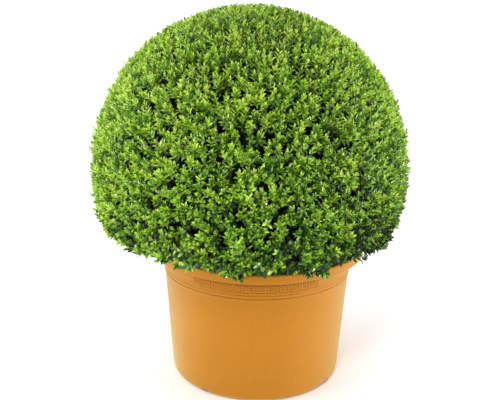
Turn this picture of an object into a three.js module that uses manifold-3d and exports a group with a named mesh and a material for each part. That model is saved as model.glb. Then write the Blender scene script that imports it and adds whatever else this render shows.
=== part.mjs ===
// A clipped box ball in a round plastic tub with a key-pattern frieze.
// Millimetres, +Z up. The origin is the centre of the pad under the tub, on the ground.
import * as THREE from "three";
import { mergeVertices } from "three/addons/utils/BufferGeometryUtils.js";
import Module from "manifold-3d";

const wasm = await Module();
wasm.setup();

// ---- Driving dimensions -------------------------------------------------------------------

const TURN = 2 * Math.PI;
const FIT_GAP = 0.3; // between solids that touch

const tub = {
  height: 264,
  baseRadius: 167.5, // where the wall's line meets the ground
  mouthRadius: 184.5, // the same line at the top
  wall: 3.2,
  heelRadius: 12, // rounding between wall and foot
  footRing: { inner: 148, outer: 155.5 },
  padRadius: 20,
  floorUnderside: 6,
  floorThickness: 3.5,
  segments: 57, // one key of the frieze lies on each facet
  turn: THREE.MathUtils.degToRad(-0.7), // of the frieze and its facets, about +Z
};

const rim = {
  radius: 206, // at the skirt's lower edge
  flare: 1.2, // how much wider the skirt is at its top
  skirtHeight: 17,
  thickness: 3.2,
  edgeRound: 2.5,
};

const beads = { heights: [207.6, 214.1], halfHeight: 2.1, proud: 1.6 };

const frieze = {
  panels: 3,
  keysPerPanel: 12,
  firstFacet: -6, // of the panel at the front, counted from straight ahead
  bottom: 219.2,
  rows: 8, // bars and gaps by turns, one unit each
  rowHeight: 2.35,
  columns: 8,
  parting: 0.4, // between one key and the next
  proud: 1.2,
  sunk: 0.8,
};

const notches = { count: 4, firstAngle: THREE.MathUtils.degToRad(-33), width: 23, height: 8 };

const compost = { edgeHeight: 231, middleHeight: 236, trunkSeatRadius: 34 };

const crown = {
  centre: new THREE.Vector3(-16, 0, 404.5),
  reach: 306, // the clipped surface, a little beyond the furthest leaf tips
  unevenness: 4, // how far a sprig may end short of the clipped surface
  coreRadius: 260,
  coreFloor: 271,
  coreDetail: 5, // how finely the core's faces are divided
  lumpHeight: 4, // of the core's uneven surface
  lumpsPerRadian: 9,
  stemRadius: 12,
  sprigs: 146,
  lowestSprig: THREE.MathUtils.degToRad(-54),
  skirt: { outer: 210, edge: 240, slopeRun: 70, slopeRise: 60 }, // the space round the rim
  overRim: 2, // clearance above the rim
  seed: 71,
};

const sprig = {
  sunk: 20,
  step: 1.5, // growth between two looks at the crown's space
  shortest: 10,
  rootRadius: 4,
  tipRadius: 3,
  sway: 0.16, // sideways wander of a sprig's axis, as a share of its direction
  lift: 0.1, // how far sprigs turn up to the light
  pairShares: [0.5, 1], // where the leaf pairs stand along a sprig
  pairSplay: [1.25, 0.8], // angle between leaf and sprig, in radians
};

const leaf = {
  length: 49,
  width: 27,
  thickness: 3,
  widestAt: 0.55,
  rootOffset: 0.6,
  scales: [1, 0.62], // the smaller size stands where the full one would leave the space
};

const trunk = {
  foot: new THREE.Vector3(-5, 0, compost.middleHeight + FIT_GAP),
  top: new THREE.Vector3(-9, 1, 262),
  footRadius: 30,
  neckRadius: 17,
  topRadius: 14,
  neckShare: 0.42,
  sides: 15,
};

// ---- Finishes -----------------------------------------------------------------------------

const finishes = {
  tub: new THREE.MeshStandardMaterial({ color: "#d8913a", roughness: 0.5, metalness: 0 }),
  compost: new THREE.MeshStandardMaterial({ color: "#3a2a1f", roughness: 0.98, metalness: 0 }),
  bark: new THREE.MeshStandardMaterial({ color: "#84745a", roughness: 0.9, metalness: 0 }),
  foliage: new THREE.MeshStandardMaterial({ color: "#5f9429", roughness: 0.45, metalness: 0 }),
};

// ---- Solids -------------------------------------------------------------------------------

/** A repeatable stream of numbers from 0 to 1. */
function seededRandom(seed) {
  let state = seed >>> 0;
  return () => {
    state = (state + 0x6d2b79f5) >>> 0;
    let t = Math.imul(state ^ (state >>> 15), 1 | state);
    t = (t + Math.imul(t ^ (t >>> 7), 61 | t)) ^ t;
    return ((t ^ (t >>> 14)) >>> 0) / 4294967296;
  };
}

/** A closed three.js geometry as a solid that can be joined and cut. */
function solidOf(geometry) {
  const bare = geometry.index ? geometry.toNonIndexed() : geometry.clone();
  bare.deleteAttribute("normal");
  bare.deleteAttribute("uv");
  const merged = mergeVertices(bare, 1e-3);
  return new wasm.Manifold(
    new wasm.Mesh({
      numProp: 3,
      vertProperties: merged.attributes.position.array,
      triVerts: new Uint32Array(merged.index.array),
    }),
  );
}

/** A solid as a three.js geometry with flat faces. */
function geometryOf(solid) {
  const mesh = solid.getMesh();
  const geometry = new THREE.BufferGeometry();
  geometry.setAttribute("position", new THREE.BufferAttribute(mesh.vertProperties, 3));
  geometry.setIndex(new THREE.BufferAttribute(mesh.triVerts, 1));
  const faceted = geometry.toNonIndexed();
  faceted.computeVertexNormals();
  return faceted;
}

function joined(solids) {
  return solids.reduce((whole, piece) => whole.add(piece));
}

function meshOf(name, geometry, material) {
  const mesh = new THREE.Mesh(geometry, material);
  mesh.name = name;
  return mesh;
}

/** Turns an outline of [radius, height] points about +Z, starting and ending on the axis. */
function turned(outline, segments) {
  const points = outline.map(([radius, height]) => new THREE.Vector2(radius, height));
  const geometry = new THREE.LatheGeometry(points, segments);
  geometry.rotateX(Math.PI / 2);
  return geometry;
}

/** Points on an arc in the [radius, height] plane, both ends included. */
function arc(centreRadius, centreHeight, radius, from, to, steps) {
  return Array.from({ length: steps + 1 }, (_, i) => {
    const angle = THREE.MathUtils.degToRad(from + ((to - from) * i) / steps);
    return [centreRadius + radius * Math.cos(angle), centreHeight + radius * Math.sin(angle)];
  });
}

// ---- Tub ----------------------------------------------------------------------------------

/** Radius of the tub's outer wall at a height. */
function wallRadius(height) {
  return THREE.MathUtils.lerp(tub.baseRadius, tub.mouthRadius, height / tub.height);
}

function beadOutline(height) {
  const low = height - beads.halfHeight;
  const high = height + beads.halfHeight;
  const crest = wallRadius(height) + beads.proud;
  return [
    [wallRadius(low), low],
    [crest, height - beads.halfHeight / 3],
    [crest, height + beads.halfHeight / 3],
    [wallRadius(high), high],
  ];
}

function tubOutline() {
  const { floorUnderside, floorThickness, footRing, heelRadius, padRadius, wall, height } = tub;
  const skirtLow = height - rim.skirtHeight;
  const top = rim.radius + rim.flare;
  const round = rim.edgeRound;
  const underFlange = height - rim.thickness;
  const floor = floorUnderside + floorThickness;
  return [
    [0, 0],
    [padRadius, 0],
    [padRadius + 2, floorUnderside],
    [footRing.inner - 2, floorUnderside],
    [footRing.inner, 0],
    [footRing.outer, 0],
    ...arc(footRing.outer, heelRadius, heelRadius, -65, -5, 3),
    ...beads.heights.flatMap(beadOutline),
    [wallRadius(underFlange), underFlange],
    [top - rim.thickness, underFlange],
    [rim.radius - rim.thickness, skirtLow],
    [rim.radius, skirtLow],
    [top, height - round],
    [top - round, height],
    [wallRadius(height) - wall, height],
    [wallRadius(floor) - wall, floor],
    [0, floor],
  ];
}

/** A slice across the foot, a low arch wide enough to let water out. */
function notchCutter(angle) {
  const arch = new THREE.Shape();
  const half = notches.width / 2;
  arch.moveTo(-half, -1);
  arch.lineTo(half, -1);
  arch.lineTo(half * 0.62, notches.height);
  arch.lineTo(-half * 0.62, notches.height);
  arch.closePath();
  const depth = 26; // through the foot ring only
  const geometry = new THREE.ExtrudeGeometry(arch, { depth, bevelEnabled: false });
  geometry.rotateX(Math.PI / 2); // the arch stands upright and runs along -Y
  geometry.rotateZ(Math.PI / 2);
  geometry.translate(tub.baseRadius - depth + 5, 0, 0);
  geometry.rotateZ(angle);
  return solidOf(geometry);
}

/** The outline of a bar of even width that follows a path with square turns. */
function barOutline(path, width) {
  const half = width / 2;
  const left = [];
  const right = [];
  path.forEach((point, i) => {
    const before = i > 0 ? point.clone().sub(path[i - 1]).normalize() : null;
    const after = i < path.length - 1 ? path[i + 1].clone().sub(point).normalize() : null;
    const offset = new THREE.Vector2();
    for (const run of [before, after]) {
      if (run) offset.add(new THREE.Vector2(-run.y, run.x).multiplyScalar(half));
    }
    const cap = new THREE.Vector2();
    if (!before) cap.copy(after).multiplyScalar(-half);
    if (!after) cap.copy(before).multiplyScalar(half);
    left.push(point.clone().add(offset).add(cap));
    right.unshift(point.clone().sub(offset).add(cap));
  });
  return [...left, ...right];
}

/** One key in units: a hook that rises from the bar along its foot, and one that hangs inside it. */
function keyShapes() {
  const rising = [
    [0.5, 0.5],
    [7.5, 0.5],
    [7.5, 6.5],
    [3.5, 6.5],
    [3.5, 4.5],
  ];
  const hanging = [
    [1.5, 7.5],
    [1.5, 2.5],
    [5.5, 2.5],
    [5.5, 4.5],
  ];
  return [rising, hanging].map((corners) => {
    const path = corners.map(([x, y]) => new THREE.Vector2(x, y));
    return new THREE.Shape(barOutline(path, 1));
  });
}

/** One key as flat bars on one facet of the wall. */
function keySolid(facet) {
  const facetAngle = TURN / tub.segments;
  const middleHeight = frieze.bottom + (frieze.rows * frieze.rowHeight) / 2;
  const apothem = wallRadius(middleHeight) * Math.cos(facetAngle / 2);
  const facetWidth = 2 * apothem * Math.tan(facetAngle / 2);
  const slope = Math.atan((tub.mouthRadius - tub.baseRadius) / tub.height);
  const depth = frieze.sunk + frieze.proud;
  const plate = new THREE.ExtrudeGeometry(keyShapes(), { depth, bevelEnabled: false });
  plate.translate(-frieze.columns / 2, -frieze.rows / 2, -frieze.sunk);
  plate.scale((facetWidth - frieze.parting) / frieze.columns, frieze.rowHeight, 1);
  plate.rotateX(Math.PI / 2 + slope); // upright, leaning out with the wall, facing -Y
  plate.translate(0, -apothem, middleHeight);
  plate.rotateZ((facet + 0.5) * facetAngle);
  return solidOf(plate);
}

function friezeSolids() {
  const facetsBetweenPanels = tub.segments / frieze.panels;
  const solids = [];
  for (let panel = 0; panel < frieze.panels; panel += 1) {
    for (let key = 0; key < frieze.keysPerPanel; key += 1) {
      solids.push(keySolid(frieze.firstFacet + panel * facetsBetweenPanels + key));
    }
  }
  return solids;
}

function tubMesh() {
  let body = solidOf(turned(tubOutline(), tub.segments));
  for (let i = 0; i < notches.count; i += 1) {
    const angle = notches.firstAngle + (i * TURN) / notches.count;
    body = body.subtract(notchCutter(angle - tub.turn));
  }
  const whole = geometryOf(joined([body, ...friezeSolids()]));
  return meshOf("tub", whole.rotateZ(tub.turn), finishes.tub);
}

// ---- Compost and trunk --------------------------------------------------------------------

function compostMesh() {
  const floor = tub.floorUnderside + tub.floorThickness + FIT_GAP;
  const inner = (height) => wallRadius(height) - tub.wall - FIT_GAP;
  const outline = [
    [0, floor],
    [inner(floor), floor],
    [inner(compost.edgeHeight), compost.edgeHeight],
    [compost.trunkSeatRadius, compost.middleHeight],
    [0, compost.middleHeight],
  ];
  const filling = turned(outline, tub.segments).rotateZ(tub.turn);
  return meshOf("compost", filling, finishes.compost);
}

/** The short trunk: flat foot on the compost, root flare, neck, and a flat top. */
function trunkMesh() {
  const height = trunk.top.z - trunk.foot.z;
  const neck = height * trunk.neckShare;
  const outline = [
    [0, 0],
    [trunk.footRadius, 0],
    [trunk.footRadius * 0.8, neck * 0.3],
    [trunk.neckRadius, neck],
    [trunk.topRadius, height],
    [0, height],
  ];
  const geometry = turned(outline, trunk.sides);
  const place = geometry.attributes.position;
  const lean = trunk.top.clone().sub(trunk.foot).divideScalar(height);
  for (let i = 0; i < place.count; i += 1) {
    const rise = place.getZ(i);
    place.setXYZ(i, place.getX(i) + lean.x * rise, place.getY(i) + lean.y * rise, rise);
  }
  geometry.translate(trunk.foot.x, trunk.foot.y, trunk.foot.z);
  return meshOf("trunk", geometry, finishes.bark);
}

// ---- Crown --------------------------------------------------------------------------------

/** The lowest height the crown may fill at a distance from the tub's axis. */
function crownFloorAt(distance) {
  const { outer, edge, slopeRun, slopeRise } = crown.skirt;
  if (distance < outer) return tub.height + crown.overRim;
  return edge + slopeRise * Math.min((distance - outer) / slopeRun, 1);
}

/** Whether a point lies in the crown's own space. */
function inCrown(point) {
  if (point.distanceTo(crown.centre) > crown.reach) return false;
  return point.z >= crownFloorAt(Math.hypot(point.x, point.y));
}

/** Directions spread evenly over a sphere by the golden angle, top first. */
function evenDirections(count) {
  const golden = Math.PI * (3 - Math.sqrt(5));
  return Array.from({ length: count }, (_, i) => {
    const z = 1 - (2 * i + 1) / count;
    const ring = Math.sqrt(1 - z * z);
    return new THREE.Vector3(ring * Math.cos(golden * i), ring * Math.sin(golden * i), z);
  });
}

/** How far the core's lumpy surface lies from the crown's centre in a direction. */
function coreReach(direction) {
  const waves = direction.toArray().map((share, i) => Math.sin(crown.lumpsPerRadian * share + 2 * i));
  return crown.coreRadius + (crown.lumpHeight * (waves[0] + waves[1] + waves[2])) / 3;
}

/** The smaller dense core that the sprigs stand out of: lumpy, and flat below. */
function coreGeometry() {
  const core = new THREE.IcosahedronGeometry(1, crown.coreDetail);
  const place = core.attributes.position;
  const corner = new THREE.Vector3();
  for (let i = 0; i < place.count; i += 1) {
    corner.fromBufferAttribute(place, i);
    corner.multiplyScalar(coreReach(corner)).add(crown.centre);
    place.setXYZ(i, corner.x, corner.y, Math.max(corner.z, crown.coreFloor));
  }
  return core;
}

/** The crown's own stem, from just above the trunk into the core. */
function stemGeometry() {
  const foot = trunk.top.z + FIT_GAP;
  const length = crown.coreFloor - foot + crown.stemRadius;
  const stem = new THREE.CylinderGeometry(crown.stemRadius, crown.stemRadius, length, trunk.sides);
  return stem.rotateX(Math.PI / 2).translate(trunk.top.x, trunk.top.y, foot + length / 2);
}

/** A geometry modelled along +Z, set at a place and turned to a direction and a side. */
function setAlong(geometry, root, direction, side) {
  const across = side.clone().addScaledVector(direction, -side.dot(direction)).normalize();
  const third = new THREE.Vector3().crossVectors(direction, across);
  const frame = new THREE.Matrix4().makeBasis(across, third, direction).setPosition(root);
  return geometry.applyMatrix4(frame);
}

/** A three-sided stick along +Z that narrows to its tip. */
function stickGeometry(length) {
  const stick = new THREE.CylinderGeometry(sprig.tipRadius, sprig.rootRadius, length, 3);
  return stick.rotateX(Math.PI / 2).translate(0, 0, length / 2);
}

/** A leaf along +Z: an eight-sided blade, widest past its middle and thin across X. */
function leafGeometry(scale) {
  const blade = new THREE.OctahedronGeometry(1);
  const place = blade.attributes.position;
  for (let i = 0; i < place.count; i += 1) {
    const along = place.getZ(i);
    const share = along > 0.5 ? 1 : along < -0.5 ? 0 : leaf.widestAt;
    place.setXYZ(
      i,
      (place.getX(i) * leaf.thickness) / 2,
      (scale * place.getY(i) * leaf.width) / 2,
      scale * share * leaf.length,
    );
  }
  return blade;
}

/** Whether a point is hidden inside the core. */
function inCore(point) {
  const out = point.clone().sub(crown.centre);
  return point.z > crown.coreFloor && out.length() < coreReach(out.clone().normalize());
}

/** Whether all of a leaf that stands out of the core lies in the crown's space. */
function leafStaysInside(blade) {
  const place = blade.attributes.position;
  const corner = new THREE.Vector3();
  for (let i = 0; i < place.count; i += 1) {
    corner.fromBufferAttribute(place, i);
    if (!inCore(corner) && !inCrown(corner)) return false;
  }
  return true;
}

/** Where a sprig starts, well inside the core, or inside its lower edge for the lowest ones. */
function sprigRoot(direction) {
  const depth = crown.coreRadius - sprig.sunk;
  const root = crown.centre.clone().addScaledVector(direction, depth);
  const lowest = crown.coreFloor + sprig.sunk / 2;
  if (root.z >= lowest) return root;
  const drop = crown.centre.z - lowest;
  const ring = Math.sqrt(depth * depth - drop * drop) / Math.hypot(direction.x, direction.y);
  return new THREE.Vector3(
    crown.centre.x + direction.x * ring,
    crown.centre.y + direction.y * ring,
    lowest,
  );
}

/** How far a sprig grows before it or its tip leaves meet the edge of the crown's space. */
function grownLength(root, axis, tipLeaves) {
  const reaches = tipLeaves.map((way) => way.clone().multiplyScalar(leaf.length));
  const fits = (length) => {
    const tip = root.clone().addScaledVector(axis, length);
    return inCrown(tip) && reaches.every((reach) => inCrown(tip.clone().add(reach)));
  };
  let length = 0;
  while (fits(length + sprig.step)) length += sprig.step;
  return length;
}

/** The directions of a crossed pair of leaves round a sprig's axis. */
function pairDirections(axis, across, pair) {
  const splay = sprig.pairSplay[pair];
  return [0, 1].map((half) => {
    const out = across.clone().applyAxisAngle(axis, (pair / 2 + half) * Math.PI);
    return axis.clone().multiplyScalar(Math.cos(splay)).addScaledVector(out, Math.sin(splay));
  });
}

/** One sprig: a stick rooted in the core, with crossed pairs of leaves, clipped to the ball. */
function sprigSolids(direction, random) {
  const wander = new THREE.Vector3(random() - 0.5, random() - 0.5, random() - 0.5);
  const side = new THREE.Vector3(random() - 0.5, random() - 0.5, random() - 0.5);
  const short = crown.unevenness * random();
  const axis = direction.clone().addScaledVector(wander, 2 * sprig.sway);
  axis.z += sprig.lift;
  axis.normalize();
  const across = side.addScaledVector(axis, -side.dot(axis)).normalize();
  const root = sprigRoot(direction);
  const tipLeaves = pairDirections(axis, across, sprig.pairShares.length - 1);
  const length = grownLength(root, axis, tipLeaves) - short;
  if (length < sprig.shortest) return [];
  const solids = [solidOf(setAlong(stickGeometry(length), root, axis, across))];
  sprig.pairShares.forEach((share, pair) => {
    const node = root.clone().addScaledVector(axis, length * share - sprig.tipRadius);
    for (const way of pairDirections(axis, across, pair)) {
      const at = node.clone().addScaledVector(way, leaf.rootOffset);
      const blades = leaf.scales.map((scale) => setAlong(leafGeometry(scale), at, way, axis));
      const fitting = blades.find(leafStaysInside);
      if (fitting) solids.push(solidOf(fitting));
    }
  });
  return solids;
}

function crownMesh() {
  const random = seededRandom(crown.seed);
  const body = [coreGeometry(), stemGeometry()].map(solidOf);
  const directions = evenDirections(crown.sprigs).filter((way) => way.z > Math.sin(crown.lowestSprig));
  const sprigs = directions.flatMap((way) => sprigSolids(way, random));
  return meshOf("crown", geometryOf(joined([...body, ...sprigs])), finishes.foliage);
}

// ---- Assembly -----------------------------------------------------------------------------

const plant = new THREE.Group();
plant.name = "box_ball";
plant.add(tubMesh(), compostMesh(), trunkMesh(), crownMesh());

export default plant;
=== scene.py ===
"""A clipped box ball in an ochre plastic tub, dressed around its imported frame.

The crown grows by the frame's own rule, carried further: boughs fork into branches, branches into
twigs, and twigs into leafy sprigs that end at the clipped surface. The tub, the compost and the
trunk are modelled over their plain solids at the same sizes. Metres, +Z up, -Y to the front.
"""

from __future__ import annotations

import logging
import math
from dataclasses import dataclass, field
from enum import Enum
from typing import Callable, Sequence

import bpy
import numpy as np
from mathutils import Matrix, Vector, noise


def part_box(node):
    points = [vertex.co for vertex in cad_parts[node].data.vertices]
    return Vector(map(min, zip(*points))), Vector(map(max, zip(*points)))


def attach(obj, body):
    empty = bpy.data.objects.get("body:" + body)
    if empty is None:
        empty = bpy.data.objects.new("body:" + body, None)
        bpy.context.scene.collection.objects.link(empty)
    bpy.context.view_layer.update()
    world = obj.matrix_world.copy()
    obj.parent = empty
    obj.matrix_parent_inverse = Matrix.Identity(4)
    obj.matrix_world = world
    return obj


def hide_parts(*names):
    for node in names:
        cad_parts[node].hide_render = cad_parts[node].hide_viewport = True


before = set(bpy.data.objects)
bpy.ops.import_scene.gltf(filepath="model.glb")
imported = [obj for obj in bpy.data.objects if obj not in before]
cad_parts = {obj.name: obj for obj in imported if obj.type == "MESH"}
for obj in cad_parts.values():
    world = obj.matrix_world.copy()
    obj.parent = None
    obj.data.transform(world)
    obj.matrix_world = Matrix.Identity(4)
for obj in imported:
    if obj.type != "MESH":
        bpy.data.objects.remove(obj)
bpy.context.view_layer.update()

BODY = "root"
UP = np.array([0.0, 0.0, 1.0])
MM = 0.001

log = logging.getLogger("box_ball")

Triple = tuple[float, float, float]
Colour = Triple
Outline = list[tuple[float, float]]


# ---- Shader tools --------------------------------------------------------------------------


def linear(red: int, green: int, blue: int) -> Colour:
    """Turns a display colour into the light that a shader works with.

    Args:
        red: red, from 0 to 255.
        green: green, from 0 to 255.
        blue: blue, from 0 to 255.

    Returns:
        The colour as three linear numbers.
    """
    shares = [channel / 255 for channel in (red, green, blue)]
    return tuple(s / 12.92 if s <= 0.04045 else ((s + 0.055) / 1.055) ** 2.4 for s in shares)


class Wire:
    """A shader socket that Python's operators can work with."""

    def __init__(self, nodes: Nodes, socket: bpy.types.NodeSocket) -> None:
        """Wraps a socket of a node tree that is being made."""
        self.nodes = nodes
        self.socket = socket

    def _math(self, operation: str, first: Wire | float, second: Wire | float) -> Wire:
        """Adds one Math node that works on two values."""
        return self.nodes.add("ShaderNodeMath", {"operation": operation}, {0: first, 1: second})

    def __add__(self, other: Wire | float) -> Wire:
        """The sum with another value."""
        return self._math("ADD", self, other)

    def __sub__(self, other: Wire | float) -> Wire:
        """The difference from another value."""
        return self._math("SUBTRACT", self, other)

    def __rsub__(self, other: float) -> Wire:
        """A number less this value."""
        return self._math("SUBTRACT", other, self)

    def __mul__(self, other: Wire | float) -> Wire:
        """The product with another value."""
        return self._math("MULTIPLY", self, other)

    __radd__ = __add__
    __rmul__ = __mul__


class Nodes:
    """A node tree under construction, whose nodes all come from one method."""

    def __init__(self, tree: bpy.types.NodeTree) -> None:
        """Takes the tree that the nodes go into."""
        self.tree = tree

    def plug(self, socket: bpy.types.NodeSocket, value: object) -> None:
        """Links a wire to a socket, or sets the socket to a plain value.

        Args:
            socket: the input that is fed.
            value: a wire, a number, a vector or a colour.
        """
        if isinstance(value, Wire):
            self.tree.links.new(value.socket, socket)
        elif isinstance(value, tuple) and len(value) == 3 and socket.type == "RGBA":
            socket.default_value = (*value, 1.0)
        else:
            socket.default_value = value

    def add(
        self,
        kind: str,
        settings: dict[str, object] | None = None,
        inputs: dict[int | str, object] | None = None,
        output: int | str = 0,
    ) -> Wire:
        """Adds a node.

        Args:
            kind: the node's type.
            settings: its properties, and under "stops" a ramp's places and greys.
            inputs: a value or a wire for each socket named.
            output: the socket that is handed back.

        Returns:
            The node's output as a wire.
        """
        node = self.tree.nodes.new(kind)
        for name, value in (settings or {}).items():
            if name == "stops":
                self._set_stops(node.color_ramp, value)
            else:
                setattr(node, name, value)
        for name, value in (inputs or {}).items():
            self.plug(node.inputs[name], value)
        return Wire(self, node.outputs[output])

    @staticmethod
    def _set_stops(ramp: bpy.types.ColorRamp, stops: Sequence[tuple[float, float]]) -> None:
        """Gives a ramp its stops.

        Args:
            ramp: the ramp, which starts with two stops.
            stops: the place and the grey of each stop.
        """
        while len(ramp.elements) < len(stops):
            ramp.elements.new(0.5)
        for element, (place, grey) in zip(ramp.elements, stops):
            element.position = place
            element.color = (grey, grey, grey, 1.0)


class Paint(Nodes):
    """A material under construction."""

    def __init__(self, name: str) -> None:
        """Starts a material with its Principled shader.

        Args:
            name: the material's name.
        """
        self.material = bpy.data.materials.new(name)
        self.material.use_nodes = True
        super().__init__(self.material.node_tree)
        self.shader = self.tree.nodes["Principled BSDF"]

    def place(self) -> Wire:
        """The point on the object that is being painted."""
        return self.add("ShaderNodeTexCoord", output="Object")

    def clouds(self, scale: float, detail: float = 2.0, stretch: Triple | None = None) -> Wire:
        """Soft noise through the object.

        Args:
            scale: how fine it is, in lumps to a metre.
            detail: how many finer layers it has.
            stretch: how much faster it changes along each axis.

        Returns:
            A value from 0 to 1, mostly near the middle.
        """
        where = self.place()
        if stretch:
            where = self.add("ShaderNodeMapping", None, {"Vector": where, "Scale": stretch})
        return self.add("ShaderNodeTexNoise", None, {"Vector": where, "Scale": scale, "Detail": detail})

    def steps(self, value: Wire, *stops: tuple[float, float]) -> Wire:
        """Maps a value through a ramp of grey stops."""
        return self.add("ShaderNodeValToRGB", {"stops": stops}, {"Fac": value})

    def mix(self, share: Wire | float, first: Wire | Colour, second: Wire | Colour) -> Wire:
        """Mixes two colours by a share from 0 to 1."""
        settings = {"data_type": "RGBA", "clamp_factor": True}
        return self.add("ShaderNodeMix", settings, {0: share, 6: first, 7: second}, 2)

    def bump(self, height: Wire, depth: float) -> Wire:
        """Turns a height into a surface direction, with the height's full depth in metres."""
        return self.add("ShaderNodeBump", None, {"Height": height, "Distance": depth})

    def finish(self, **sockets: object) -> bpy.types.Material:
        """Sets the Principled shader's sockets, named with underscores for spaces.

        Args:
            sockets: a value or a wire for each socket.

        Returns:
            The finished material.
        """
        for name, value in sockets.items():
            words = ["IOR" if word == "ior" else word.capitalize() for word in name.split("_")]
            self.plug(self.shader.inputs[" ".join(words)], value)
        return self.material


# ---- Finishes ------------------------------------------------------------------------------


@dataclass(frozen=True)
class TubPlastic:
    """Ochre injection-moulded plastic: satin, finely grained and faintly clouded, with painted shade on
    the wall under the rim.
    """

    body: Colour = linear(171, 106, 3)
    pale: Colour = linear(183, 120, 13)
    deep: Colour = linear(162, 96, 2)
    roughness: float = 0.42
    gloss: float = 0.15
    bloom: float = 0.36  # the pale haze of its matt skin at a slant
    bloom_tint: Colour = (0.7, 1.0, 0.42)
    bloom_spread: float = 0.5
    cloud_scale: float = 9.0
    cloud_share: float = 0.55
    cloud_polish: float = 0.12  # how far the roughness follows the clouds
    speck_scale: float = 420.0
    speck_share: float = 0.3
    grain_scale: float = 900.0
    grain_depth: float = 0.12 * MM
    grain_polish: float = 0.1
    # painted shade: the darker colour that stands for the rim's shadow on the wall
    painted_shade: Colour = linear(122, 70, 16)
    painted_shade_share: float = 0.6
    painted_shade_heights: tuple[float, float] = (231.8 * MM, 235.0 * MM)  # painted shade: the wall is painted darker here, in the rim's shadow
    painted_shade_radii: tuple[float, float] = (200.5 * MM, 201.5 * MM)  # the step from the wall to the rim

    def _painted_rim_shade(self, paint: Paint) -> Wire:
        """How much painted shade darkens the wall in the hollow behind the hanging rim.

        Args:
            paint: the material that is being made.

        Returns:
            The share of painted shade, which is nought everywhere else.
        """
        where = paint.place()
        height = paint.add("ShaderNodeSeparateXYZ", None, {0: where}, 2)
        level = paint.add("ShaderNodeVectorMath", {"operation": "MULTIPLY"}, {0: where, 1: (1, 1, 0)})
        radius = paint.add("ShaderNodeVectorMath", {"operation": "LENGTH"}, {0: level}, "Value")
        low, high = self.painted_shade_heights
        near, far = self.painted_shade_radii
        settings = {"interpolation_type": "SMOOTHSTEP"}
        span = {"Value": height, "From Min": low, "From Max": high}
        rise = paint.add("ShaderNodeMapRange", settings, span)
        span = {"Value": radius, "From Min": far, "From Max": near}
        wall = paint.add("ShaderNodeMapRange", None, span)
        return self.painted_shade_share * rise * wall

    def material(self) -> bpy.types.Material:
        """Makes the plastic's material.

        Returns:
            The material.
        """
        paint = Paint("tub_plastic")
        cloud = paint.steps(paint.clouds(self.cloud_scale, detail=3.0), (0.3, 0.0), (0.7, 1.0))
        speck = paint.steps(paint.clouds(self.speck_scale), (0.42, 0.0), (0.62, 1.0))
        grain = paint.clouds(self.grain_scale, detail=1.0)
        colour = paint.mix(cloud * self.cloud_share, self.body, self.deep)
        colour = paint.mix(speck * self.speck_share, colour, self.pale)
        # painted shade: the wall under the rim is mixed darker, as the rim's shadow
        colour = paint.mix(self._painted_rim_shade(paint), colour, self.painted_shade)
        clouded = self.roughness + self.cloud_polish * (cloud - 0.5)
        return paint.finish(
            base_color=colour,
            roughness=clouded + self.grain_polish * (grain - 0.5),
            specular_ior_level=self.gloss,
            sheen_weight=self.bloom,
            sheen_tint=self.bloom_tint,
            sheen_roughness=self.bloom_spread,
            normal=paint.bump(grain, self.grain_depth),
        )


@dataclass(frozen=True)
class CompostFinish:
    """Dark, moist potting compost with paler flecks of bark."""

    dark: Colour = linear(38, 28, 21)
    brown: Colour = linear(74, 52, 36)
    fleck: Colour = linear(128, 96, 64)
    roughness: float = 0.98
    crumb_scale: float = 260.0
    crumb_depth: float = 3 * MM
    fleck_scale: float = 120.0
    fleck_share: float = 0.8
    fleck_polish: float = 0.25

    def material(self) -> bpy.types.Material:
        """Makes the compost's material.

        Returns:
            The material.
        """
        paint = Paint("compost")
        crumbs = paint.clouds(self.crumb_scale, detail=4.0)
        flecks = paint.steps(paint.clouds(self.fleck_scale, detail=1.0), (0.64, 0.0), (0.7, 1.0))
        colour = paint.mix(paint.steps(crumbs, (0.35, 0.0), (0.65, 1.0)), self.dark, self.brown)
        return paint.finish(
            base_color=paint.mix(flecks * self.fleck_share, colour, self.fleck),
            roughness=self.roughness - self.fleck_polish * flecks,
            normal=paint.bump(crumbs, self.crumb_depth),
        )


@dataclass(frozen=True)
class BarkFinish:
    """Thin corky bark, furrowed along the limb."""

    name: str
    furrow: Colour
    ridge: Colour
    furrow_depth: float = 1.2 * MM
    fineness: float = 160.0
    furrow_run: float = 0.22  # how fast the bark changes upwards, against round about
    roughness: float = 0.95
    ridge_polish: float = 0.15

    def material(self) -> bpy.types.Material:
        """Makes the bark's material.

        Returns:
            The material.
        """
        paint = Paint(self.name)
        ridges = paint.clouds(self.fineness, detail=3.0, stretch=(1.0, 1.0, self.furrow_run))
        height = paint.steps(ridges, (0.36, 0.0), (0.62, 1.0))
        return paint.finish(
            base_color=paint.mix(height, self.furrow, self.ridge),
            roughness=self.roughness - self.ridge_polish * height,
            normal=paint.bump(height, self.furrow_depth),
        )


class Shade(Enum):
    """The leaf colours, from the newest growth to the leaves inside the crown; the darkest two, SHADED
    and INNER, are painted shade.
    """

    BUD = "bud"
    YOUNG = "young"
    FRESH = "fresh"
    LEAF = "leaf"
    MATURE = "mature"
    SHADED = "shaded"
    INNER = "inner"


@dataclass(frozen=True)
class LeafFinish:
    """One plain leaf colour, glossy, with some light passing through."""

    shade: Shade
    colour: Colour
    roughness: float
    glow: float  # the share of light that passes through
    wax: float = 0.3
    polish: float = 0.5
    wax_roughness: float = 0.18
    through_gain: float = 1.25  # how much lighter the leaf is against the light

    def material(self) -> bpy.types.Material:
        """Makes the leaf's material.

        Returns:
            The material.
        """
        paint = Paint(f"{self.shade.value}_leaf")
        paint.finish(
            base_color=self.colour,
            roughness=self.roughness,
            coat_weight=self.wax,
            coat_roughness=self.wax_roughness,
            specular_ior_level=self.polish,
        )
        through = tuple(min(1.0, share * self.through_gain) for share in self.colour)
        lit = paint.add("ShaderNodeBsdfTranslucent", None, {"Color": through})
        gloss = Wire(paint, paint.shader.outputs["BSDF"])
        blend = paint.add("ShaderNodeMixShader", None, {0: self.glow, 1: gloss, 2: lit})
        paint.plug(paint.tree.nodes["Material Output"].inputs["Surface"], blend)
        return paint.material


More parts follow.
